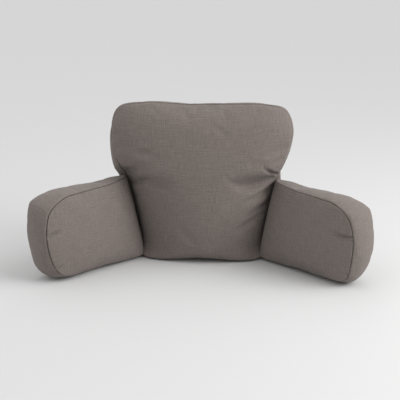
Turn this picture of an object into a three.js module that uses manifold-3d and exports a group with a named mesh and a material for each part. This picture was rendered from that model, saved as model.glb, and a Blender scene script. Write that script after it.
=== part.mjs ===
// A stroller pillow that stands by itself: a boxed back cushion with a boxed arm cushion sewn to each side.
// Millimetres, +Z up, the seat side faces -Y. The origin is the middle of the back's base, on the surface.
import * as THREE from "three";
import { mergeVertices } from "three/addons/utils/BufferGeometryUtils.js";
import Module from "manifold-3d";

// Driving dimensions
const STRIP_WIDTH = 56; // the boxing strip between the two panels of each cushion
const STRIP_SWELL = 6; // how far the filling pushes the strip out past its seams
const STRIP_POWER = 0.56; // under 1 the strip leaves its seams steeply and flattens in the middle
const BACK_HEIGHT = 296;
const BACK_LEAN = 30; // how far the top of the back is set behind its base
const ARM_LENGTH = 210;
const ARM_HEIGHT = 153;
const ARM_SEAT = 32; // how far an arm's end runs into the back's side before it is trimmed to fit
const SEWN_GAP = 0.3; // between an arm and the side of the back that it is sewn to

// How far the panels swell in the middle, on the seat's side and on the other. power: as STRIP_POWER.
const BACK_CROWN = { front: 37, rear: 22, power: 0.5 };
const ARM_CROWN = { front: 11, rear: 12, power: 0.66 };

// The sewn joints draw the back's front seams in, from the base up to the arms' tops, and the two sides of
// each arm's end together. Each draw comes out again over its reach.
// atBase: share of the back's draw at its base, which comes up to the whole over rise. fade: how slowly the
// draw ends about top.
// place: along the arm, where half of the inner side's draw is left at its base. turn: how much further along
// that is at its top.
const BACK_DRAW = { depth: 47, reach: 37, atBase: 0.2, rise: 18, top: 165, fade: 5.5 };
const ARM_INNER_DRAW = { depth: 42, place: -22, turn: 10, reach: 5 };
const ARM_OUTER_DRAW = { depth: 17, reach: 20 };

// How each stuffed arm stands. spread: degrees from the plane of the back. foot: where its inner seam meets
// the surface, across from the middle. lean, freeLean: how far out the top seam is set at the sewn and the
// free end. filled: share of the pattern's height that the filling holds up. inner, outer: how far the
// filling pushes out the lower corner of the free end at those two seams.
const ARM_POSE = {
  left: { side: -1, spread: 47, foot: 115, lean: 38, freeLean: 9, filled: 0.99, inner: 0, outer: 9 },
  right: { side: 1, spread: 42, foot: 117, lean: 28, freeLean: -6, filled: 0.97, inner: 8, outer: 0 },
};
const ARM_CORNER = { x: 188, z: 14, reach: 20 };

// Seam lines, anticlockwise from the lower left corner of the panel that faces the seat, with x across and
// z up. bow: how far the filling pushes the two seams apart there. rearX, rearZ: how far the other panel's
// seam is shifted. swell: share of STRIP_SWELL.
const BACK_EDGE = [
  { x: -118, z: 8, bow: 0, rearX: -22, rearZ: -3, swell: 0.9, corner: true },
  { x: 0, z: 5, bow: 14, rearX: 0, rearZ: 0, swell: 1.1 },
  { x: 118, z: 8, bow: 0, rearX: 22, rearZ: -3, swell: 0.9, corner: true },
  { x: 127, z: 60, bow: 0, rearX: 20, rearZ: 0, swell: 0.4 },
  { x: 136, z: 118, bow: 0, rearX: 18, rearZ: 0, swell: 0.4 },
  { x: 145, z: 164, bow: 0, rearX: 5, rearZ: 0, swell: 0.3 },
  { x: 161, z: 210, bow: 0, rearX: 2, rearZ: 0, swell: 0.6 },
  { x: 168, z: 250, bow: 0, rearX: 0, rearZ: 0, swell: 0.5 },
  { x: 155, z: 285, bow: -4, rearX: -2, rearZ: -3, swell: 0.35, corner: true },
  { x: 118, z: 297, bow: 0, rearX: 0, rearZ: -14, swell: 0.4 },
  { x: 36, z: 298, bow: 0, rearX: 0, rearZ: -16, swell: 0.4 },
  { x: -20, z: 297, bow: 0, rearX: 0, rearZ: -16, swell: 0.4 },
  { x: -112, z: 299, bow: 0, rearX: 0, rearZ: -14, swell: 0.4 },
  { x: -159, z: 286, bow: -4, rearX: 2, rearZ: -3, swell: 0.5, corner: true },
  { x: -170, z: 252, bow: 0, rearX: 0, rearZ: 0, swell: 0.7 },
  { x: -167, z: 210, bow: 0, rearX: -6, rearZ: 0, swell: 1.3 },
  { x: -153, z: 166, bow: 0, rearX: -15, rearZ: 0, swell: 2 },
  { x: -140, z: 118, bow: 0, rearX: -14, rearZ: 0, swell: 0.6 },
  { x: -127, z: 60, bow: 0, rearX: -20, rearZ: 0, swell: 0.4 },
];

// The same for an arm, with x running from its sewn end to its rounded free end.
const ARM_EDGE = [
  { x: -ARM_SEAT, z: 16, bow: 0, rearX: -4, rearZ: -4, swell: 0, corner: true },
  { x: 90, z: 5, bow: 0, rearX: 0, rearZ: 0, swell: 1 },
  { x: 180, z: 11, bow: 0, rearX: 0, rearZ: 0, swell: 1.2, corner: true },
  { x: 196, z: 32, bow: 0, rearX: 4, rearZ: 0, swell: 1.4 },
  { x: 206, z: 67, bow: 0, rearX: 5, rearZ: 0, swell: 1.2 },
  { x: 206, z: 103, bow: 0, rearX: 4, rearZ: 4, swell: 1 },
  { x: 195, z: 132, bow: 0, rearX: 6, rearZ: 9, swell: 1, corner: true },
  { x: 164, z: 150, bow: 0, rearX: 2, rearZ: 0, swell: 1 },
  { x: 120, z: 153, bow: 0, rearX: 0, rearZ: -3, swell: 0.9 },
  { x: 60, z: 152, bow: -1, rearX: -4, rearZ: -6, swell: 0.6 },
  { x: 8 - ARM_SEAT, z: 149, bow: -4, rearX: -8, rearZ: -9, swell: 0, corner: true },
  { x: 4 - ARM_SEAT, z: 76, bow: -2, rearX: -6, rearZ: 0, swell: 0 },
];

// The main folds of the panel that faces the seat, each along a line from one place to another.
// bend: how far the middle of the line is bent to its left. peak: share of the way along where the fold is
// deepest. depth: how far the line is drawn in. width: half the width of the trough.
const BACK_FOLDS = [
  { fromX: -168, fromZ: 172, toX: -96, toZ: 176, bend: 0, peak: 0.3, depth: 7, width: 17 },
  { fromX: -152, fromZ: 160, toX: -112, toZ: 180, bend: 0, peak: 0.45, depth: 6.5, width: 8 },
  { fromX: -150, fromZ: 146, toX: -54, toZ: 146, bend: 9, peak: 0.38, depth: 5.5, width: 9 },
  { fromX: -130, fromZ: 210, toX: -82, toZ: 210, bend: 0, peak: 0.5, depth: 2.6, width: 8 },
  { fromX: 52, fromZ: 168, toX: 142, toZ: 158, bend: -12, peak: 0.6, depth: 7, width: 13 },
  { fromX: 44, fromZ: 170, toX: 138, toZ: 164, bend: -19, peak: 0.45, depth: 3.6, width: 8 },
  { fromX: 140, fromZ: 138, toX: 74, toZ: 118, bend: 2, peak: 0.3, depth: 6, width: 8 },
  { fromX: 126, fromZ: 94, toX: 60, toZ: 62, bend: 0, peak: 0.4, depth: 4.5, width: 8 },
];

// Grid cells of a cushion: across and up each panel, and over the strip. FINE: steps to a cell when a seam
// line's length is measured.
const BACK_CELLS = { across: 44, up: 38, strip: 6 };
const ARM_CELLS = { across: 28, up: 20, strip: 6 };
const FINE = 20;

// Places along a closed curve from one of its rows to another, evenly spaced by length.
function stations(curve, first, last, cells) {
  const steps = FINE * cells;
  const place = (k) => (first + ((last - first) * k) / steps) / curve.points.length;
  const lengths = [0];
  for (let k = 1; k <= steps; k++) {
    const step = curve.getPoint(place(k)).distanceTo(curve.getPoint(place(k - 1)));
    lengths.push(lengths[k - 1] + step);
  }
  const found = [];
  for (let i = 0, k = 0; i < cells; i++) {
    const wanted = (lengths[steps] * i) / cells;
    while (lengths[k + 1] <= wanted) k++;
    found.push(place(k + (wanted - lengths[k]) / (lengths[k + 1] - lengths[k])));
  }
  return found;
}

// The table's column at a place along the curve.
function columnAt(rows, column, place) {
  const row = place * rows.length;
  const below = Math.floor(row);
  const from = rows[below % rows.length][column];
  const to = rows[(below + 1) % rows.length][column];
  return THREE.MathUtils.lerp(from, to, row - below);
}

// How far the folds draw a panel in at a place on it. The cloth stands up a little on both sides of a trough.
function foldDepth(folds, x, z) {
  let depth = 0;
  for (const fold of folds) {
    const line = new THREE.Vector2(fold.toX - fold.fromX, fold.toZ - fold.fromZ);
    const reach = new THREE.Vector2(x - fold.fromX, z - fold.fromZ);
    const length = line.length();
    line.normalize();
    const share = THREE.MathUtils.clamp(line.dot(reach) / length, 0, 1);
    const offset = (line.cross(reach) - fold.bend * 4 * share * (1 - share)) / fold.width;
    const along = Math.sin(Math.PI * share ** (Math.log(0.5) / Math.log(fold.peak)));
    depth += fold.depth * along * (1 - offset ** 2 / 2) * Math.exp(-(offset ** 2) / 2);
  }
  return depth;
}

// A closed boxed cushion: two crowned panels, each a patch stretched inside its seam line, and the strip
// between them.
function boxedCushion(rows, folds, cells, crown) {
  const { across, up, strip } = cells;
  const seamPoint = (r) => new THREE.Vector3(r.x, -STRIP_WIDTH / 2 - r.bow, r.z);
  const seam = new THREE.CatmullRomCurve3(rows.map(seamPoint), true);
  const corners = rows.flatMap((r, i) => (r.corner ? [i] : []));
  const places = corners.flatMap((first, s) => {
    const last = corners[s + 1] ?? corners[0] + rows.length;
    return stations(seam, first, last, s % 2 ? up : across);
  });
  const loopSize = places.length;
  const front = places.map((t) => seam.getPoint(t));
  const rear = places.map((t, k) => {
    const rearX = columnAt(rows, "rearX", t);
    const rearZ = columnAt(rows, "rearZ", t);
    return new THREE.Vector3(rearX, -2 * front[k].y, rearZ).add(front[k]);
  });
  const onLoop = (i, j) => {
    if (j === 0) return i;
    if (i === across) return across + j;
    if (j === up) return 2 * across + up - i;
    return (2 * across + 2 * up - j) % loopSize;
  };
  const points = [];
  const add = (x, y, z) => points.push(x, y, z) / 3 - 1;

  const panel = (loop, side, swell, panelFolds) => {
    const grid = [];
    for (let j = 0; j <= up; j++) {
      const q = j / up;
      for (let i = 0; i <= across; i++) {
        const p = i / across;
        const patch = (axis) => {
          const at = (a, b) => loop[onLoop(a, b)][axis];
          const ruled = (1 - q) * at(i, 0) + q * at(i, up) + (1 - p) * at(0, j) + p * at(across, j);
          const low = (1 - q) * ((1 - p) * at(0, 0) + p * at(across, 0));
          const high = q * ((1 - p) * at(0, up) + p * at(across, up));
          return ruled - low - high;
        };
        const fullness = (16 * p * (1 - p) * q * (1 - q)) ** crown.power;
        const x = patch("x");
        const z = patch("z");
        const rise = swell * fullness - Math.sqrt(fullness) * foldDepth(panelFolds, x, z);
        grid.push(add(x, patch("y") + side * rise, z));
      }
    }
    return (i, j) => grid[j * (across + 1) + i];
  };
  const frontAt = panel(front, -1, crown.front, folds);
  const rearAt = panel(rear, 1, crown.rear, []);

  const rings = [new Array(loopSize), ...Array.from({ length: strip - 1 }, () => []), new Array(loopSize)];
  for (let j = 0; j <= up; j++) {
    for (let i = 0; i <= across; i++) {
      if (i > 0 && i < across && j > 0 && j < up) continue;
      rings[0][onLoop(i, j)] = frontAt(i, j);
      rings[strip][onLoop(i, j)] = rearAt(i, j);
    }
  }
  for (let r = 1; r < strip; r++) {
    const share = r / strip;
    for (let k = 0; k < loopSize; k++) {
      const along = front[(k + 1) % loopSize].clone().sub(front[(k + loopSize - 1) % loopSize]).normalize();
      const fullness = (4 * share * (1 - share)) ** STRIP_POWER;
      const swell = STRIP_SWELL * columnAt(rows, "swell", places[k]) * fullness;
      const at = front[k].clone().lerp(rear[k], share);
      rings[r].push(add(at.x + along.z * swell, at.y, at.z - along.x * swell));
    }
  }

  const triangles = [];
  const quad = (a, b, c, d) => triangles.push(a, b, c, a, c, d);
  for (let j = 0; j < up; j++) {
    for (let i = 0; i < across; i++) {
      quad(frontAt(i, j), frontAt(i + 1, j), frontAt(i + 1, j + 1), frontAt(i, j + 1));
      quad(rearAt(i, j), rearAt(i, j + 1), rearAt(i + 1, j + 1), rearAt(i + 1, j));
    }
  }
  for (let r = 0; r < strip; r++) {
    for (let k = 0; k < loopSize; k++) {
      const next = (k + 1) % loopSize;
      quad(rings[r][k], rings[r + 1][k], rings[r + 1][next], rings[r][next]);
    }
  }
  return new THREE.BufferGeometry()
    .setAttribute("position", new THREE.Float32BufferAttribute(points, 3))
    .setIndex(triangles);
}

// Moves each point of a geometry with a function of the point and its number.
function reshape(geometry, move) {
  const position = geometry.getAttribute("position");
  const point = new THREE.Vector3();
  for (let i = 0; i < position.count; i++) {
    move(point.fromBufferAttribute(position, i), i);
    position.setXYZ(i, point.x, point.y, point.z);
  }
  return geometry;
}

// Flattens what would reach below the surface that the pillow stands on.
function settle(point) {
  point.z = Math.max(point.z, 0);
}

// 1 at a cushion's front seam and before it, and 0 at its rear seam and behind it.
function frontness(point) {
  return THREE.MathUtils.clamp(0.5 - point.y / STRIP_WIDTH, 0, 1);
}

// The distance from the middle to the back's right-hand seam at a height, below its rounded top corner.
const SIDE_ROWS = BACK_EDGE.filter((row) => row.x > 0 && row.z < 0.9 * BACK_HEIGHT);
function backSide(z) {
  const next = SIDE_ROWS.findIndex((row) => row.z > z);
  if (next === 0) return SIDE_ROWS[0].x;
  if (next < 0) return SIDE_ROWS.at(-1).x;
  const below = SIDE_ROWS[next - 1];
  const above = SIDE_ROWS[next];
  return THREE.MathUtils.mapLinear(z, below.z, above.z, below.x, above.x);
}

// The back's sides are drawn in at the sewn joints, and it leans away from the seat as it rises.
function backCushion() {
  const { depth, reach, atBase, rise, top, fade } = BACK_DRAW;
  return reshape(boxedCushion(BACK_EDGE, BACK_FOLDS, BACK_CELLS, BACK_CROWN), (point) => {
    const gap = Math.max(backSide(point.z) - Math.abs(point.x), 0);
    const below = 1 / (1 + Math.exp((point.z - top) / fade));
    const above = 1 - (1 - atBase) * Math.exp(-((point.z / rise) ** 2));
    const draw = depth * Math.exp(-gap / reach) * below * above * frontness(point);
    point.y += draw + (BACK_LEAN * point.z) / BACK_HEIGHT;
    settle(point);
  });
}

// An arm's sewn end is drawn together and leans out with the slanting side of the back, and its free end
// stands nearly upright. It turns forward about the foot of its inner seam.
function armCushion({ side, spread, foot, lean, freeLean, filled, inner, outer }) {
  const turn = THREE.MathUtils.degToRad(spread);
  const geometry = boxedCushion(ARM_EDGE, [], ARM_CELLS, ARM_CROWN);
  reshape(geometry, (point) => {
    const facing = frontness(point);
    const rollAt = ARM_INNER_DRAW.place + (ARM_INNER_DRAW.turn * point.z) / ARM_HEIGHT;
    const innerDraw = ARM_INNER_DRAW.depth / (1 + Math.exp((point.x - rollAt) / ARM_INNER_DRAW.reach));
    const fromEnd = Math.max(point.x + ARM_SEAT, 0);
    const outerDraw = ARM_OUTER_DRAW.depth * Math.exp(-fromEnd / ARM_OUTER_DRAW.reach);
    const leaning = THREE.MathUtils.lerp(lean, freeLean, THREE.MathUtils.clamp(point.x / ARM_LENGTH, 0, 1));
    const drawn = innerDraw * facing - outerDraw * (1 - facing);
    const outward = point.y + STRIP_WIDTH / 2 + drawn + (leaning * point.z) / ARM_HEIGHT;
    const toCorner = Math.hypot(point.x - ARM_CORNER.x, point.z - ARM_CORNER.z) / ARM_CORNER.reach;
    const along = point.x + (inner * facing + outer * (1 - facing)) * Math.exp(-(toCorner ** 2) / 2);
    point.x = side * (along * Math.cos(turn) + outward * Math.sin(turn) + foot);
    point.y = outward * Math.cos(turn) - along * Math.sin(turn) - STRIP_WIDTH / 2;
    point.z *= filled;
    settle(point);
  });
  if (side < 0) geometry.setIndex([...geometry.index.array].reverse());
  return geometry;
}

// A copy of a geometry that is grown along its normals.
function grown(geometry, distance) {
  const copy = geometry.clone();
  copy.computeVertexNormals();
  const normals = copy.getAttribute("normal");
  copy.deleteAttribute("normal");
  const normal = new THREE.Vector3();
  return reshape(copy, (point, i) => point.addScaledVector(normal.fromBufferAttribute(normals, i), distance));
}

const wasm = await Module();
wasm.setup();

// A closed geometry as a solid, and a solid as a geometry.
function solidOf(geometry) {
  const merged = mergeVertices(geometry, 1e-4);
  return new wasm.Manifold(
    new wasm.Mesh({
      numProp: 3,
      vertProperties: merged.getAttribute("position").array,
      triVerts: Uint32Array.from(merged.index.array),
    }),
  );
}

function geometryOf(solid) {
  const mesh = solid.getMesh();
  return new THREE.BufferGeometry()
    .setAttribute("position", new THREE.BufferAttribute(mesh.vertProperties, 3))
    .setIndex(new THREE.BufferAttribute(mesh.triVerts, 1));
}

const linen = new THREE.MeshStandardMaterial({ color: 0x7a726e, roughness: 0.95, metalness: 0 });

function cushionMesh(name, geometry) {
  const mesh = new THREE.Mesh(geometry, linen);
  mesh.name = name;
  return mesh;
}

const back = backCushion();
const clearance = solidOf(grown(back, SEWN_GAP));
const sewnArm = (pose) => geometryOf(solidOf(armCushion(pose)).subtract(clearance));

const pillow = new THREE.Group();
pillow.add(
  cushionMesh("back_cushion", back),
  cushionMesh("arm_left", sewnArm(ARM_POSE.left)),
  cushionMesh("arm_right", sewnArm(ARM_POSE.right)),
);

export default pillow;
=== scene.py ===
"""The looks of a stroller pillow: a stuffed linen back with a stuffed linen arm sewn to each side.

Every cushion is two crowned panels and the boxing strip between them, worked out on grids, let out by a
cloth simulation that is held at the seams, and then given its folds and its sewn seam lines. The tables are
in millimetres, in the frame of the solids: x across, z up, and the seat on the -y side.
"""

import math
from collections import Counter

import bmesh
import bpy
import numpy as np
from mathutils import Matrix


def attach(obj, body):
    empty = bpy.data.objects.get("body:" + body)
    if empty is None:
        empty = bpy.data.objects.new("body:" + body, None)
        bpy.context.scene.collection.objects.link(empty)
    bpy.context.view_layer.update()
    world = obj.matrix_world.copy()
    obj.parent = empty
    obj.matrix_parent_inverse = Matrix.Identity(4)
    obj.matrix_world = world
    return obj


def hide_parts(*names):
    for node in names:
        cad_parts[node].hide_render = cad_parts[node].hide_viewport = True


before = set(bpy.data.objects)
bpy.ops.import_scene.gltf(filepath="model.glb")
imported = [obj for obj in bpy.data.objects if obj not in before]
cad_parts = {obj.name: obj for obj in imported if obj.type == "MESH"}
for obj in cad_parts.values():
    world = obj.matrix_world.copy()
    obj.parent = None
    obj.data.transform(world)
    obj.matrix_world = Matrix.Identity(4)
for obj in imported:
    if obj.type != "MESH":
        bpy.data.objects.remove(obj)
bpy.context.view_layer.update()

MM = 0.001

# Sizes of the cushions
STRIP_WIDTH = 56.0  # the boxing strip between the two panels of each cushion
STRIP_SWELL = 6.0  # how far the filling pushes the strip out past its seams
STRIP_POWER = 0.56  # under 1 the strip leaves its seams steeply and flattens in the middle
BASE_TURN = 0.7  # how much more sharply the strip turns under along the base
BACK_HEIGHT = 296.0
BACK_SIDE_TOP = 266.0  # rows of the back's seam line below this height belong to its sides
BACK_LEAN = 30.0  # how far the top of the back is set behind its base
ARM_LENGTH = 210.0
ARM_HEIGHT = 153.0
ARM_SEAT = 32.0  # how far an arm's end runs into the back's side before it is trimmed to fit
SEWN_GAP = 0.3  # between an arm and the side of the back that it is sewn to
SLIVER = 0.02  # points closer than this after the trim are one point

# How far the panels swell in the middle, on the seat's side and on the other. power: as STRIP_POWER.
BACK_CROWN = {"front": 37.0, "rear": 22.0, "power": 0.5}
ARM_CROWN = {"front": 11.0, "rear": 12.0, "power": 0.66}

# The sewn joints draw the back's front seams in, from the base up to the arms' tops, and the two sides of
# each arm's end together. Each draw comes out again over its reach.
BACK_DRAW = 47.0
BACK_DRAW_REACH = 37.0
BACK_DRAW_FOOT = 0.2  # share of the draw at the base, which comes up to the whole over JOINT_RISE
JOINT_RISE = 18.0
JOINT_TOP = 165.0
JOINT_FADE = 5.5  # how slowly the draw ends about JOINT_TOP
ARM_INNER_DRAW = 42.0
ARM_INNER_PLACE = -22.0  # along the arm, where half of the draw is left at its base
ARM_INNER_TURN = 10.0  # how much further along that is at its top
ARM_INNER_REACH = 5.0
ARM_OUTER_DRAW = 17.0
ARM_OUTER_REACH = 20.0
ARM_CORNER = (188.0, 14.0)  # the lower corner of an arm's free end
ARM_CORNER_REACH = 20.0

# How each stuffed arm stands. spread: degrees from the plane of the back. foot: where its inner seam meets
# the surface, across from the middle. lean, free_lean: how far out the top seam is set at the sewn and the
# free end. filled: share of the pattern's height that the filling holds up. inner, outer: how far the filling
# pushes out ARM_CORNER at those two seams.
POSE_COLUMNS = ("side", "spread", "foot", "lean", "free_lean", "filled", "inner", "outer")
ARM_POSE = {
    "left": dict(zip(POSE_COLUMNS, (-1, 47.0, 115.0, 38.0, 9.0, 0.99, 0.0, 9.0))),
    "right": dict(zip(POSE_COLUMNS, (1, 42.0, 117.0, 28.0, -6.0, 0.97, 8.0, 0.0))),
}

# Seam lines, anticlockwise from the lower left corner of the panel that faces the seat.
# bow: how far the filling pushes the two seams apart. rear_x, rear_z: how far the other panel's seam is
# shifted. swell: share of STRIP_SWELL. corner: 1 where one side of the panel ends and the next begins.
EDGE_COLUMNS = ("x", "z", "bow", "rear_x", "rear_z", "swell", "corner")
BACK_EDGE = (
    (-118, 9, 5, -22, -3, 1.3, 1),
    (0, 9, 14, 0, 0, 1.6, 0),
    (118, 9, 5, 22, -3, 1.3, 1),
    (127, 60, 0, 20, 0, 0.4, 0),
    (136, 118, 0, 18, 0, 0.4, 0),
    (145, 164, 0, 5, 0, 0.3, 0),
    (161, 210, 0, 2, 0, 0.6, 0),
    (168, 250, 0, 0, 0, 0.5, 0),
    (155, 285, -4, -2, -3, 0.35, 1),
    (118, 297, 0, 0, -14, 0.4, 0),
    (36, 298, 0, 0, -16, 0.4, 0),
    (-20, 297, 0, 0, -16, 0.4, 0),
    (-112, 299, 0, 0, -14, 0.4, 0),
    (-159, 286, -4, 2, -3, 0.5, 1),
    (-170, 252, 0, 0, 0, 0.7, 0),
    (-167, 210, 0, -6, 0, 1.3, 0),
    (-153, 166, 0, -15, 0, 2.0, 0),
    (-140, 118, 0, -14, 0, 0.6, 0),
    (-127, 60, 0, -20, 0, 0.4, 0),
)
ARM_EDGE = (
    (-ARM_SEAT, 16, 0, -4, -4, 0.0, 1),
    (90, 8, 0, 0, 0, 1.45, 0),
    (180, 13, 0, 0, 0, 1.5, 1),
    (196, 32, 0, 4, 0, 1.4, 0),
    (206, 67, 0, 5, 0, 1.2, 0),
    (206, 103, 0, 4, 4, 1.0, 0),
    (195, 132, 0, 6, 9, 1.0, 1),
    (164, 150, 0, 2, 0, 1.0, 0),
    (120, 153, 0, 0, -3, 0.9, 0),
    (60, 152, -1, -4, -6, 0.6, 0),
    (8 - ARM_SEAT, 149, -4, -8, -9, 0.0, 1),
    (4 - ARM_SEAT, 76, -2, -6, 0, 0.0, 0),
)

# Folds in the panels that face the seat, each along a line from one place to another.
# bend: how far the middle of the line is bent to its left. peak: share of the way along where the fold is
# deepest. depth: how far the line is drawn in, or pushed out where it is below zero. width: half the width of
# the trough.
FOLD_COLUMNS = ("from_x", "from_z", "to_x", "to_z", "bend", "peak", "depth", "width")
BACK_FOLDS = (
    (-168, 172, -96, 176, 0, 0.30, 7.0, 17.0),
    (-152, 160, -112, 180, 0, 0.45, 6.5, 8.0),
    (-150, 146, -54, 146, 9, 0.38, 5.5, 9.0),
    (-148, 134, -96, 160, 0, 0.50, 4.5, 4.5),
    (-70, 148, -16, 148, 0, 0.50, 0.8, 4.0),
    (-130, 210, -82, 210, 0, 0.50, 2.6, 7.0),
    (154, 156, 112, 188, 0, 0.30, 8.5, 3.4),
    (52, 168, 142, 158, -12, 0.60, 7.0, 13.0),
    (44, 170, 138, 164, -19, 0.45, 3.6, 6.5),
    (140, 138, 74, 118, 2, 0.30, 6.5, 5.5),
    (134, 112, 84, 88, 0, 0.35, 5.0, 5.5),
    (126, 94, 60, 62, 0, 0.40, 4.5, 6.0),
    (90, 205, 132, 198, 0, 0.50, -1.4, 5.0),
    (18, 268, 56, 234, 0, 0.50, 1.0, 6.0),
    (-44, 74, -4, 38, 0, 0.50, 1.6, 8.0),
)
ARM_FOLDS = {
    "left": (
        (214, 85, 176, 97, -2, 0.36, 4.2, 4.0),
        (202, 22, 180, 36, 0, 0.40, 4.5, 2.8),
    ),
    "right": (
        (216, 104, 158, 103, 3, 0.36, 5.5, 3.2),
        (214, 95, 186, 95, 0, 0.40, 3.0, 2.6),
        (202, 20, 186, 34, 0, 0.40, 4.5, 2.6),
    ),
}

# The sewn seam line between a panel and the strip
SEAM_DEPTH = 1.4  # how far the two cloths turn in where they are sewn
SEAM_SPREAD = 0.9  # how soon they come out again
PAINTED_SEAM_SHADE = 0.25  # painted shade: share of the linen's colour left in the seam line, standing in for the shadow in its groove
PAINTED_SEAM_SHADE_WIDTH = 1.3  # half the width of the painted shade line along a seam
FOLD_FADE = 2.5  # how soon the folds begin beside a seam
FAR_AWAY = 10000.0  # a place on no panel, so that no fold reaches it

# Grid cells of each cushion before its one subdivision, and how strongly they crowd towards the seams
BACK_CELLS = {"across": 88, "up": 80, "strip": 16}
ARM_CELLS = {"across": 66, "up": 48, "strip": 16}
CROWDING = 0.45
FINE_STEPS = 20  # steps to a cell when a seam line's length is measured

# Cloth simulation: the linen is let out by these shares of its length, in the panel and beside its seams
LET_OUT_PANEL = 0.006
LET_OUT_SEAM = 0.035
SLACK_REACH = 16.0  # how far from a seam the slack cloth reaches
SLACK_STEPS = 10  # levels of slack between none and the whole
CLOTH_FRAMES = 24
CLOTH_CAP = 7.0  # the furthest that a point may move
CLOTH_SETTINGS = {
    "quality": 6,
    "mass": 0.2,
    "air_damping": 4,
    "tension_stiffness": 20,
    "compression_stiffness": 20,
    "shear_stiffness": 6,
    "bending_stiffness": 0.4,
    "shrink_min": -LET_OUT_PANEL,
    "shrink_max": -LET_OUT_SEAM,
    "use_pressure": True,
    "uniform_pressure_force": 3.0,
}
ON_SEAM = 0.01  # points this near a seam are sewn
RESTING = 0.5  # points lower than this rest on the surface and stay there
ARM_SEWN_END = 4.0  # along an arm, how far the joint holds its cloth still

# The linen's yarns, in metres, and the colours of the linen and the paper
YARN_WIDTH = 0.0018  # about the width of one pixel of the photograph
SLUB_ALONG = 0.030  # length of the streaks along the cloth
SLUB_ACROSS = 0.020  # length of the streaks across it
GRAIN_SHARE = 0.8
WEAVE_SHARE = 0.35
LINEN_TONES = ((0.36, "#544d4a"), (0.96, "#877d77"))  # places on the colour ramp and their colours
PAPER = "#d2d2d2"

# Camera, fitted to the photograph's seam lines on a frame 400 pixels wide
CAMERA_DISTANCE = 1.5
CAMERA_ELEVATION = 16.3
CAMERA_AZIMUTH = 3.6
CAMERA_TARGET = (-0.0003, -0.06, 0.1291)
FOCAL_PIXELS = 813.2
FRAME_PIXELS = 400
SENSOR_WIDTH = 36.0

# Floor and lamps, in metres
FLOOR_HALF_WIDTH = 30.0
LAMP_TARGET = (0, -0.05, 0.1)  # where the softbox is aimed


def column(rows, columns, name):
    """One named column of a table as an array."""
    return np.array([row[columns.index(name)] for row in rows], float)


def seam_points(rows, places):
    """Points on a closed centripetal Catmull-Rom curve through a table's rows.

    places counts rows from the first. Between two rows the curve is a cubic whose end slopes come from the
    distances to the rows before and after, each distance taken as its square root.
    """
    knots = np.stack(
        [
            column(rows, EDGE_COLUMNS, "x"),
            -STRIP_WIDTH / 2 - column(rows, EDGE_COLUMNS, "bow"),
            column(rows, EDGE_COLUMNS, "z"),
        ],
        axis=1,
    )
    row = np.floor(places).astype(int)
    t = (places - row)[:, None]
    before, start, end, after = (knots[(row + k) % len(knots)] for k in (-1, 0, 1, 2))
    gap_in = np.linalg.norm(start - before, axis=1, keepdims=True) ** 0.5
    gap = np.linalg.norm(end - start, axis=1, keepdims=True) ** 0.5
    gap_out = np.linalg.norm(after - end, axis=1, keepdims=True) ** 0.5
    leave = gap * ((start - before) / gap_in - (end - before) / (gap_in + gap) + (end - start) / gap)
    arrive = gap * ((end - start) / gap - (after - start) / (gap + gap_out) + (after - end) / gap_out)
    return (
        start * (2 * t**3 - 3 * t**2 + 1)
        + leave * (t**3 - 2 * t**2 + t)
        + end * (3 * t**2 - 2 * t**3)
        + arrive * (t**3 - t**2)
    )


def crowded(cells):
    """Shares from 0 to 1 that crowd towards both ends: even steps mixed with steps along a half circle."""
    even = np.linspace(0, 1, cells + 1)
    return (1 - CROWDING) * even + CROWDING * (1 - np.cos(np.pi * even)) / 2


def seam_places(rows, cells):
    """Places along the whole seam line: on each of its four sides, crowded shares of that side's length."""
    corners = np.flatnonzero(column(rows, EDGE_COLUMNS, "corner"))
    ends = np.append(corners, corners[0] + len(rows))
    sides = []
    for first, last, side_cells in zip(ends[:-1], ends[1:], (cells["across"], cells["up"]) * 2):
        fine = np.linspace(first, last, FINE_STEPS * side_cells)
        steps = np.linalg.norm(np.diff(seam_points(rows, fine), axis=0), axis=1)
        run = np.concatenate([[0], np.cumsum(steps)])
        sides.append(np.interp(crowded(side_cells)[:-1] * run[-1], run, fine))
    return np.concatenate(sides)


def panel_surface(loop, cells, side, crown):
    """A panel as a Coons patch inside its seam loop, raised by its crown.

    The patch adds the two surfaces ruled between opposite sides and takes away the one ruled between the
    corners. The crown is rise * (16 p (1 - p) q (1 - q)) ^ power, towards side.
    """
    across, up = cells["across"], cells["up"]
    closed = np.vstack([loop, loop[:1]])
    bottom = closed[: across + 1]
    right = closed[across : across + up + 1]
    top = closed[across + up : 2 * across + up + 1][::-1]
    left = closed[2 * across + up :][::-1]
    p = crowded(across)[None, :, None]
    q = crowded(up)[:, None, None]
    ruled = (1 - q) * bottom[None] + q * top[None] + (1 - p) * left[:, None] + p * right[:, None]
    low = (1 - p) * bottom[0] + p * bottom[-1]
    high = (1 - p) * top[0] + p * top[-1]
    patch = ruled - (1 - q) * low - q * high
    fullness = (16 * p * (1 - p) * q * (1 - q)) ** crown["power"]
    rise = crown["front"] if side < 0 else crown["rear"]
    patch[..., 1] += side * rise * fullness[..., 0]
    return patch


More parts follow.
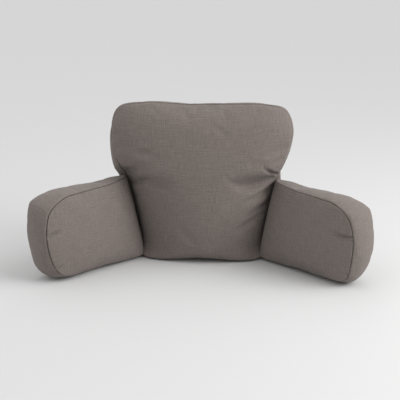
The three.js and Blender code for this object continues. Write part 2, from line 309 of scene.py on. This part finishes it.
def boxed_cushion(rows, cells, crown):
    """A closed boxed cushion as arrays.

    Returns points, quads, a UV pair for each corner of each quad in metres along and across the cloth, and
    for each point its place on the front panel (far away elsewhere) and its distance from the nearest seam.
    The seams along the base are left out of that distance, because no sewn line shows there.
    The strip runs straight from the front seam to the rear one, pushed out along the seam's outward normal by
    swell * STRIP_SWELL * (4 s (1 - s)) ^ power, where s is the share of the way across. power is STRIP_POWER,
    and BASE_TURN more where the strip faces down.
    """
    across, up, strip = cells["across"], cells["up"], cells["strip"]
    places = seam_places(rows, cells)
    front_loop = seam_points(rows, places)
    row_at = np.append(np.arange(len(rows)), len(rows))

    def around(name):
        values = column(rows, EDGE_COLUMNS, name)
        return np.interp(places % len(rows), row_at, np.append(values, values[0]))

    rear_loop = front_loop + np.stack([around("rear_x"), -2 * front_loop[:, 1], around("rear_z")], axis=1)
    front = panel_surface(front_loop, cells, -1, crown)
    rear = panel_surface(rear_loop, cells, 1, crown)

    share = crowded(strip)[1:-1, None, None]
    along = np.roll(front_loop, -1, axis=0) - np.roll(front_loop, 1, axis=0)
    along /= np.linalg.norm(along[:, ::2], axis=1, keepdims=True)
    outward = np.stack([along[:, 2], np.zeros(len(along)), -along[:, 0]], axis=1)
    power = STRIP_POWER + BASE_TURN * np.maximum(-outward[:, 2:], 0)
    swell = STRIP_SWELL * around("swell")[None, :, None] * (4 * share * (1 - share)) ** power
    rings = (1 - share) * front_loop + share * rear_loop + swell * outward

    size = (up + 1) * (across + 1)
    points = np.concatenate([front.reshape(-1, 3), rear.reshape(-1, 3), rings.reshape(-1, 3)])
    grid = np.arange(size).reshape(up + 1, across + 1)
    edge = np.concatenate([grid[0, :-1], grid[:-1, -1], grid[-1, :0:-1], grid[:0:-1, 0]])
    ring_grid = 2 * size + np.arange((strip - 1) * len(edge)).reshape(strip - 1, len(edge))
    bands = np.vstack([edge, ring_grid, size + edge])

    def quads_of(a, b, c, d):
        return np.stack([a.ravel(), b.ravel(), c.ravel(), d.ravel()], axis=1)

    front_quads = quads_of(grid[:-1, :-1], grid[:-1, 1:], grid[1:, 1:], grid[1:, :-1])
    rear_quads = size + quads_of(grid[:-1, :-1], grid[1:, :-1], grid[1:, 1:], grid[:-1, 1:])
    onward = np.roll(bands, -1, axis=1)
    strip_quads = quads_of(bands[:-1], bands[1:], onward[1:], onward[:-1])

    steps = np.linalg.norm(np.roll(front_loop, -1, axis=0) - front_loop, axis=1)
    run = np.concatenate([[0], np.cumsum(steps)])
    width = STRIP_WIDTH * crowded(strip)
    u0, v0 = np.meshgrid(run[:-1], width[:-1])
    u1, v1 = np.meshgrid(run[1:], width[1:])
    strip_corners = ((u0, v0), (u0, v1), (u1, v1), (u1, v0))
    strip_uv = np.stack([np.stack(pair, axis=-1) for pair in strip_corners], axis=2)
    panel_uv = points[np.vstack([front_quads, rear_quads])][..., ::2]
    uv = np.concatenate([panel_uv.reshape(-1, 2), strip_uv.reshape(-1, 2)]) * MM

    to_front = np.linalg.norm(front.reshape(-1, 1, 3) - front_loop[None, across:], axis=2).min(axis=1)
    to_rear = np.linalg.norm(rear.reshape(-1, 1, 3) - rear_loop[None, across:], axis=2).min(axis=1)
    to_strip = STRIP_WIDTH * np.minimum(share, 1 - share) * np.ones((strip - 1, len(edge), 1))
    to_strip[:, 1:across] = STRIP_WIDTH
    seam = np.concatenate([to_front, to_rear, to_strip.ravel()])
    place = np.full((len(points), 2), FAR_AWAY)
    place[:size] = front.reshape(-1, 3)[:, ::2]
    return {
        "points": points,
        "quads": np.vstack([front_quads, rear_quads, strip_quads]),
        "uv": uv,
        "place": place,
        "seam": seam,
    }


def settle(points):
    """Flattens what would reach below the surface that the pillow stands on."""
    return np.column_stack([points[:, :2], np.maximum(points[:, 2], 0)])


def frontness(points):
    """1 at a cushion's front seam and before it, and 0 at its rear seam and behind it."""
    return np.clip(0.5 - points[:, 1] / STRIP_WIDTH, 0, 1)


def stand_back(points):
    """The back's sides are drawn in at the sewn joints, and it leans away from the seat as it rises.

    The draw is BACK_DRAW * exp(-gap / BACK_DRAW_REACH), gap being the distance in from the side seam. At the
    base a share of it is left, 1 - (1 - BACK_DRAW_FOOT) * exp(-(z / JOINT_RISE)^2), and about JOINT_TOP it
    ends as 1 / (1 + exp((z - JOINT_TOP) / JOINT_FADE)). The lean is in proportion to the height.
    """
    x, z = points[:, 0], points[:, 2]
    rows = sorted((row[1], row[0]) for row in BACK_EDGE if row[0] > 0 and row[1] < BACK_SIDE_TOP)
    side = np.interp(z, [row[0] for row in rows], [row[1] for row in rows])
    gap = np.maximum(side - np.abs(x), 0)
    below = 1 / (1 + np.exp((z - JOINT_TOP) / JOINT_FADE))
    above = 1 - (1 - BACK_DRAW_FOOT) * np.exp(-((z / JOINT_RISE) ** 2))
    draw = BACK_DRAW * np.exp(-gap / BACK_DRAW_REACH) * below * above * frontness(points)
    return settle(points + np.column_stack([0 * x, draw + z * BACK_LEAN / BACK_HEIGHT, 0 * x]))


def stand_arm(points, pose):
    """An arm leans out, more at its sewn end than its free end, and turns forward about its seam's foot.

    At the sewn end its inner and outer sides are drawn together. The outer draw is ARM_OUTER_DRAW *
    exp(-gap / reach), gap being the distance from that end. The inner one is ARM_INNER_DRAW / (1 +
    exp((x - place) / reach)), with a place that moves along as the arm rises. The lower corner of the free
    end is pushed out by inner or outer * exp(-(d / ARM_CORNER_REACH)^2 / 2), d being the distance from it.
    """
    share = np.clip(points[:, 0] / ARM_LENGTH, 0, 1)
    lean = pose["lean"] + (pose["free_lean"] - pose["lean"]) * share
    gap = np.maximum(points[:, 0] + ARM_SEAT, 0)
    inner = frontness(points)
    to_corner = (points[:, 0] - ARM_CORNER[0]) ** 2 + (points[:, 2] - ARM_CORNER[1]) ** 2
    push = pose["inner"] * inner + pose["outer"] * (1 - inner)
    along = points[:, 0] + push * np.exp(-to_corner / (2 * ARM_CORNER_REACH**2))
    place = ARM_INNER_PLACE + ARM_INNER_TURN * points[:, 2] / ARM_HEIGHT
    draw = ARM_INNER_DRAW / (1 + np.exp((points[:, 0] - place) / ARM_INNER_REACH)) * inner
    draw -= ARM_OUTER_DRAW * np.exp(-gap / ARM_OUTER_REACH) * (1 - inner)
    outward = points[:, 1] + STRIP_WIDTH / 2 + lean * points[:, 2] / ARM_HEIGHT + draw
    spread = math.radians(pose["spread"])
    x = along * math.cos(spread) + outward * math.sin(spread) + pose["foot"]
    y = outward * math.cos(spread) - along * math.sin(spread) - STRIP_WIDTH / 2
    return settle(np.column_stack([pose["side"] * x, y, pose["filled"] * points[:, 2]]))


def fold_depth(folds, place):
    """How far the folds draw a panel in at each place.

    With s the share of the way along a fold's line and t the distance across from it, less bend *
    4 s (1 - s), a fold is depth * sin(pi s^k) * (1 - u^2 / 2) * exp(-u^2 / 2). u is t / width, so that the
    cloth stands up a little on both sides of the trough, and k puts the deepest point at the fold's peak.
    """
    values = {name: column(folds, FOLD_COLUMNS, name) for name in FOLD_COLUMNS}
    start = np.stack([values["from_x"], values["from_z"]], axis=1)
    line = np.stack([values["to_x"], values["to_z"]], axis=1) - start
    length = np.linalg.norm(line, axis=1)
    onward = line / length[:, None]
    reach = place[:, None, :] - start
    share = np.clip((reach * onward).sum(axis=2) / length, 0, 1)
    sideways = reach[..., 1] * onward[:, 0] - reach[..., 0] * onward[:, 1]
    u = (sideways - values["bend"] * 4 * share * (1 - share)) / values["width"]
    along = np.sin(np.pi * share ** (math.log(0.5) / np.log(values["peak"])))
    return (values["depth"] * along * (1 - u**2 / 2) * np.exp(-(u**2) / 2)).sum(axis=1)


def mesh_points(mesh):
    """A mesh's points as an array."""
    flat = np.empty(3 * len(mesh.vertices), np.float32)
    mesh.vertices.foreach_get("co", flat)
    return flat.reshape(-1, 3).astype(float)


def set_mesh_points(mesh, points):
    """Moves a mesh's points."""
    mesh.vertices.foreach_set("co", points.astype(np.float32).ravel())
    mesh.update()


def cushion_object(name, cushion, points, mirrored):
    """A cushion's arrays as a mesh object, with its cloth's UVs and what its finish needs at each point."""
    turn = -1 if mirrored else 1
    quads = cushion["quads"][:, ::turn]
    corner_uv = cushion["uv"].reshape(-1, 4, 2)[:, ::turn]
    mesh = bpy.data.meshes.new(name)
    mesh.from_pydata((points * MM).tolist(), [], quads.tolist())
    mesh.uv_layers.new(name="cloth").uv.foreach_set("vector", corner_uv.astype(np.float32).ravel())
    place_x, place_z = cushion["place"].T
    for key, values in (("place_x", place_x), ("place_z", place_z), ("seam", cushion["seam"])):
        mesh.attributes.new(key, "FLOAT", "POINT").data.foreach_set("value", values.astype(np.float32))
    piece = bpy.data.objects.new(name, mesh)
    bpy.context.scene.collection.objects.link(piece)
    return piece


def bake_modifiers(piece):
    """Puts what the modifiers make into the piece's own mesh and removes them."""
    evaluated = piece.evaluated_get(bpy.context.evaluated_depsgraph_get())
    baked = bpy.data.meshes.new_from_object(evaluated)
    piece.modifiers.clear()
    old = piece.data
    piece.data = baked
    bpy.data.meshes.remove(old)


def let_out(piece, pinned, slack):
    """Lets the linen out between its seams: a short cloth simulation under pressure, held where pinned.

    slack is the share of the seams' letting out that each point has. A point's move is cut to CLOTH_CAP.
    """
    start = mesh_points(piece.data)
    piece.vertex_groups.new(name="sewn").add(np.flatnonzero(pinned).tolist(), 1.0, "REPLACE")
    slack_group = piece.vertex_groups.new(name="slack")
    levels = np.round(slack * SLACK_STEPS).astype(int)
    for level in range(1, SLACK_STEPS + 1):
        slack_group.add(np.flatnonzero(levels == level).tolist(), level / SLACK_STEPS, "REPLACE")
    cloth = piece.modifiers.new("linen", "CLOTH")
    for key, value in CLOTH_SETTINGS.items():
        setattr(cloth.settings, key, value)
    cloth.settings.vertex_group_mass = "sewn"
    cloth.settings.vertex_group_shrink = "slack"
    cloth.settings.effector_weights.gravity = 0
    cloth.collision_settings.use_collision = False
    cloth.point_cache.frame_end = CLOTH_FRAMES
    for number in range(1, CLOTH_FRAMES + 1):
        bpy.context.scene.frame_set(number)
    bake_modifiers(piece)
    bpy.context.scene.frame_set(1)
    moved = mesh_points(piece.data) - start
    length = np.linalg.norm(moved, axis=1, keepdims=True)
    moved *= CLOTH_CAP * MM / np.maximum(length, CLOTH_CAP * MM)
    set_mesh_points(piece.data, settle(start + moved))
    piece.vertex_groups.clear()


def finish_cloth(piece, folds):
    """Subdivides a cushion once, then draws in its folds and its seam lines along the surface's normals."""
    smooth = piece.modifiers.new("smooth", "SUBSURF")
    smooth.levels = 1
    smooth.render_levels = 1
    bake_modifiers(piece)
    mesh = piece.data
    values = {}
    for key in ("place_x", "place_z", "seam"):
        values[key] = np.empty(len(mesh.vertices), np.float32)
        mesh.attributes[key].data.foreach_get("value", values[key])
    normals = np.empty(3 * len(mesh.vertices), np.float32)
    mesh.vertex_normals.foreach_get("vector", normals)
    place = np.column_stack([values["place_x"], values["place_z"]])
    drawn = fold_depth(folds, place) * (1 - np.exp(-values["seam"] / FOLD_FADE))
    drawn += SEAM_DEPTH * np.exp(-values["seam"] / SEAM_SPREAD)
    points = mesh_points(mesh) - normals.reshape(-1, 3) * (drawn * MM)[:, None]
    set_mesh_points(mesh, settle(points))


def cushion(name, rows, folds, cells, crown, stand, sewn_end=None, mirrored=False):
    """One finished cushion: its surface, its let-out cloth, its folds and its seams.

    stand puts the cushion's points in place. Points before sewn_end along its length are held still.
    """
    arrays = boxed_cushion(rows, cells, crown)
    points = stand(arrays["points"])
    piece = cushion_object(name, arrays, points, mirrored)
    pinned = (arrays["seam"] < ON_SEAM) | (points[:, 2] < RESTING)
    if sewn_end is not None:
        pinned |= arrays["points"][:, 0] < sewn_end
    let_out(piece, pinned, np.exp(-arrays["seam"] / SLACK_REACH))
    finish_cloth(piece, folds)
    return piece


def add_node(tree, kind, inputs=None, **settings):
    """Adds a node with its settings; an input is a value, or another node's output to link from."""
    node = tree.nodes.new(kind)
    for key, value in settings.items():
        setattr(node, key, value)
    for key, value in (inputs or {}).items():
        if isinstance(value, bpy.types.NodeSocket):
            tree.links.new(value, node.inputs[key])
        else:
            node.inputs[key].default_value = value
    return node


def linear(hex_colour):
    """An sRGB hex colour as linear RGBA."""
    srgb = np.array([int(hex_colour[k : k + 2], 16) for k in (1, 3, 5)]) / 255
    rgb = np.where(srgb <= 0.04045, srgb / 12.92, ((srgb + 0.055) / 1.055) ** 2.4)
    return (*rgb, 1.0)


def new_material(name):
    """An empty node material with its output."""
    material = bpy.data.materials.new(name)
    material.use_nodes = True
    material.node_tree.nodes.clear()
    return material, material.node_tree


def woven_linen():
    """Plain woven taupe linen, matt: uneven yarns give it faint streaks along and across, and a soft nap.

    The weave adds two noises, each stretched along one way of the yarns, and the grain is an even noise. The
    cloth's colour runs from dark to light with weave * WEAVE_SHARE + grain * GRAIN_SHARE, and painted shade
    darkens it along the sewn seam lines, standing in for the shadow in their grooves. The weave also stands
    up a little as a bump, and a weak sheen stands for the nap.
    """
    material, tree = new_material("woven_linen")
    cloth = add_node(tree, "ShaderNodeUVMap", uv_map="cloth").outputs["UV"]
    yarns = []
    for along, across in ((SLUB_ALONG, YARN_WIDTH), (YARN_WIDTH, SLUB_ACROSS), (YARN_WIDTH, YARN_WIDTH)):
        scale = (1 / along, 1 / across, 1)
        stretched = add_node(tree, "ShaderNodeMapping", {"Vector": cloth, "Scale": scale}).outputs[0]
        noise = add_node(tree, "ShaderNodeTexNoise", {"Vector": stretched, "Scale": 1, "Detail": 3})
        yarns.append(noise.outputs["Fac"])
    weave = add_node(tree, "ShaderNodeMath", {0: yarns[0], 1: yarns[1]}, operation="ADD").outputs[0]
    grain = add_node(tree, "ShaderNodeMath", {0: yarns[2], 1: GRAIN_SHARE}, operation="MULTIPLY").outputs[0]
    mixed = {0: weave, 1: WEAVE_SHARE, 2: grain}
    tone = add_node(tree, "ShaderNodeMath", mixed, operation="MULTIPLY_ADD").outputs[0]
    colour = add_node(tree, "ShaderNodeValToRGB", {"Fac": tone})
    for element, (position, hex_colour) in zip(colour.color_ramp.elements, LINEN_TONES):
        element.position = position
        element.color = linear(hex_colour)
    # Painted shade: the colour is darkened along the seam lines, standing in for the shadow that falls in the
    # sewn groove
    seam = add_node(tree, "ShaderNodeAttribute", attribute_name="seam").outputs["Fac"]
    line = {"Value": seam, "From Max": PAINTED_SEAM_SHADE_WIDTH, "To Min": PAINTED_SEAM_SHADE, "To Max": 1}
    painted_seam_shade = add_node(tree, "ShaderNodeMapRange", line).outputs["Result"]
    with_painted_seam_shade = {0: colour.outputs["Color"], 1: painted_seam_shade}
    sewn = add_node(tree, "ShaderNodeVectorMath", with_painted_seam_shade, operation="MULTIPLY")
    bump = add_node(tree, "ShaderNodeBump", {"Strength": 0.35, "Distance": 0.0012, "Height": weave})
    shader = add_node(
        tree,
        "ShaderNodeBsdfPrincipled",
        {
            "Base Color": sewn.outputs["Vector"],
            "Roughness": 0.92,
            "Normal": bump.outputs["Normal"],
            "Specular IOR Level": 0.2,
            "Sheen Weight": 0.1,
            "Sheen Roughness": 0.6,
        },
    )
    add_node(tree, "ShaderNodeOutputMaterial", {"Surface": shader.outputs["BSDF"]})
    return material


def studio_paper():
    """Matt pale paper under the pillow: plain, with no gloss."""
    material, tree = new_material("studio_paper")
    finish = {"Base Color": linear(PAPER), "Roughness": 0.9, "Specular IOR Level": 0}
    shader = add_node(tree, "ShaderNodeBsdfPrincipled", finish)
    add_node(tree, "ShaderNodeOutputMaterial", {"Surface": shader.outputs["BSDF"]})
    return material


def drop_slivers(piece):
    """Merges points closer than SLIVER, drops faces that lie back to back, and keeps the largest body.

    Each point starts with its own number as its label. Both ends of each edge take the lower of their labels,
    over and over, until each body has one label of its own.
    """
    shape = bmesh.new()
    shape.from_mesh(piece.data)
    bmesh.ops.remove_doubles(shape, verts=shape.verts, dist=SLIVER * MM)
    bmesh.ops.dissolve_degenerate(shape, edges=shape.edges, dist=SLIVER * MM)
    bmesh.ops.triangulate(shape, faces=[face for face in shape.faces if len(face.verts) > 4])
    outlines = [frozenset(face.verts) for face in shape.faces]
    uses = Counter(outlines)
    doubled = [face for face, outline in zip(shape.faces, outlines) if uses[outline] > 1]
    bmesh.ops.delete(shape, geom=doubled, context="FACES")
    shape.verts.index_update()
    ends = np.array([[point.index for point in edge.verts] for edge in shape.edges])
    labels = np.arange(len(shape.verts))
    lowest = None
    while lowest is None or (lowest != labels).any():
        lowest = labels.copy()
        np.minimum.at(labels, ends, labels[ends].min(axis=1, keepdims=True))
        labels = labels[labels]
    largest = np.bincount(labels).argmax()
    loose = [point for point in shape.verts if labels[point.index] != largest]
    bmesh.ops.delete(shape, geom=loose, context="VERTS")
    shape.to_mesh(piece.data)
    shape.free()


def trim_arm(arm, back):
    """Cuts an arm's sewn end to the side of the back, SEWN_GAP clear of it."""
    cutter = back.copy()
    cutter.data = back.data.copy()
    bpy.context.scene.collection.objects.link(cutter)
    normals = np.empty(3 * len(cutter.data.vertices), np.float32)
    cutter.data.vertex_normals.foreach_get("vector", normals)
    set_mesh_points(cutter.data, mesh_points(cutter.data) + normals.reshape(-1, 3) * SEWN_GAP * MM)
    cut = arm.modifiers.new("trim", "BOOLEAN")
    cut.operation = "DIFFERENCE"
    cut.solver = "MANIFOLD"
    cut.object = cutter
    bake_modifiers(arm)
    drop_slivers(arm)
    bpy.data.meshes.remove(cutter.data)


def sun(name, place, spread, strength):
    """A broad soft light of even strength, shining from a place towards the origin."""
    lamp = bpy.data.lights.new(name, "SUN")
    lamp.angle = math.radians(spread)
    lamp.energy = strength
    holder = bpy.data.objects.new(name, lamp)
    bpy.context.scene.collection.objects.link(holder)
    aim(holder, place, (0, 0, 0))


def softbox(name, place, size, power):
    """A square lamp aimed at the pillow, which lights its own side more than the far one."""
    lamp = bpy.data.lights.new(name, "AREA")
    lamp.shape = "SQUARE"
    lamp.size = size
    lamp.energy = power
    holder = bpy.data.objects.new(name, lamp)
    bpy.context.scene.collection.objects.link(holder)
    aim(holder, place, LAMP_TARGET)


def aim(holder, place, target):
    """Puts a lamp or camera at a place, looking at a target."""
    place = np.array(place, float)
    back = place - np.array(target, float)
    back /= np.linalg.norm(back)
    right = np.cross((0, 0, 1), back)
    right /= np.linalg.norm(right)
    matrix = np.eye(4)
    matrix[:3, :3] = np.stack([right, np.cross(back, right), back], axis=1)
    matrix[:3, 3] = place
    holder.matrix_world = Matrix(matrix.tolist())


def camera():
    """The photograph's camera, on a sphere about its target, with its focal length given in pixels."""
    elevation = math.radians(CAMERA_ELEVATION)
    azimuth = math.radians(CAMERA_AZIMUTH)
    back = np.array(
        [
            math.sin(azimuth) * math.cos(elevation),
            -math.cos(azimuth) * math.cos(elevation),
            math.sin(elevation),
        ]
    )
    lens = bpy.data.cameras.new("camera")
    lens.sensor_width = SENSOR_WIDTH
    lens.lens = SENSOR_WIDTH * FOCAL_PIXELS / FRAME_PIXELS
    lens.clip_end = 100
    holder = bpy.data.objects.new("camera", lens)
    bpy.context.scene.collection.objects.link(holder)
    aim(holder, np.array(CAMERA_TARGET) + CAMERA_DISTANCE * back, CAMERA_TARGET)
    bpy.context.scene.camera = holder


def floor(half_width):
    """A plain square floor."""
    mesh = bpy.data.meshes.new("floor")
    corners = [(-half_width, -half_width, 0), (half_width, -half_width, 0)]
    corners += [(half_width, half_width, 0), (-half_width, half_width, 0)]
    mesh.from_pydata(corners, [], [(0, 1, 2, 3)])
    sheet = bpy.data.objects.new("floor", mesh)
    bpy.context.scene.collection.objects.link(sheet)
    mesh.materials.append(studio_paper())


camera()
linen = woven_linen()

back = cushion("linen_back", BACK_EDGE, BACK_FOLDS, BACK_CELLS, BACK_CROWN, stand_back)
pieces = {"back_cushion": back}
for hand, pose in ARM_POSE.items():
    arm = cushion(
        f"linen_arm_{hand}",
        ARM_EDGE,
        ARM_FOLDS[hand],
        ARM_CELLS,
        ARM_CROWN,
        lambda points: stand_arm(points, pose),
        sewn_end=ARM_SEWN_END,
        mirrored=pose["side"] < 0,
    )
    trim_arm(arm, back)
    pieces[f"arm_{hand}"] = arm

for node, piece in pieces.items():
    piece.data.materials.clear()
    piece.data.materials.append(linen)
    piece.data.shade_smooth()
    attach(piece, "root")
    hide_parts(node)

floor(FLOOR_HALF_WIDTH)
sun("left", (-0.61, 0.35, 0.71), spread=120, strength=1.33)
sun("right", (0.71, 0, 0.71), spread=50, strength=1.13)
softbox("front_right", (1.4, -0.5, 0.85), size=0.9, power=13.5)
world = bpy.data.worlds.new("studio")
bpy.context.scene.world = world
world.use_nodes = True
world.node_tree.nodes["Background"].inputs["Color"].default_value = (1, 1, 1, 1)
world.node_tree.nodes["Background"].inputs["Strength"].default_value = 0.48
bpy.context.scene.view_settings.view_transform = "Standard"
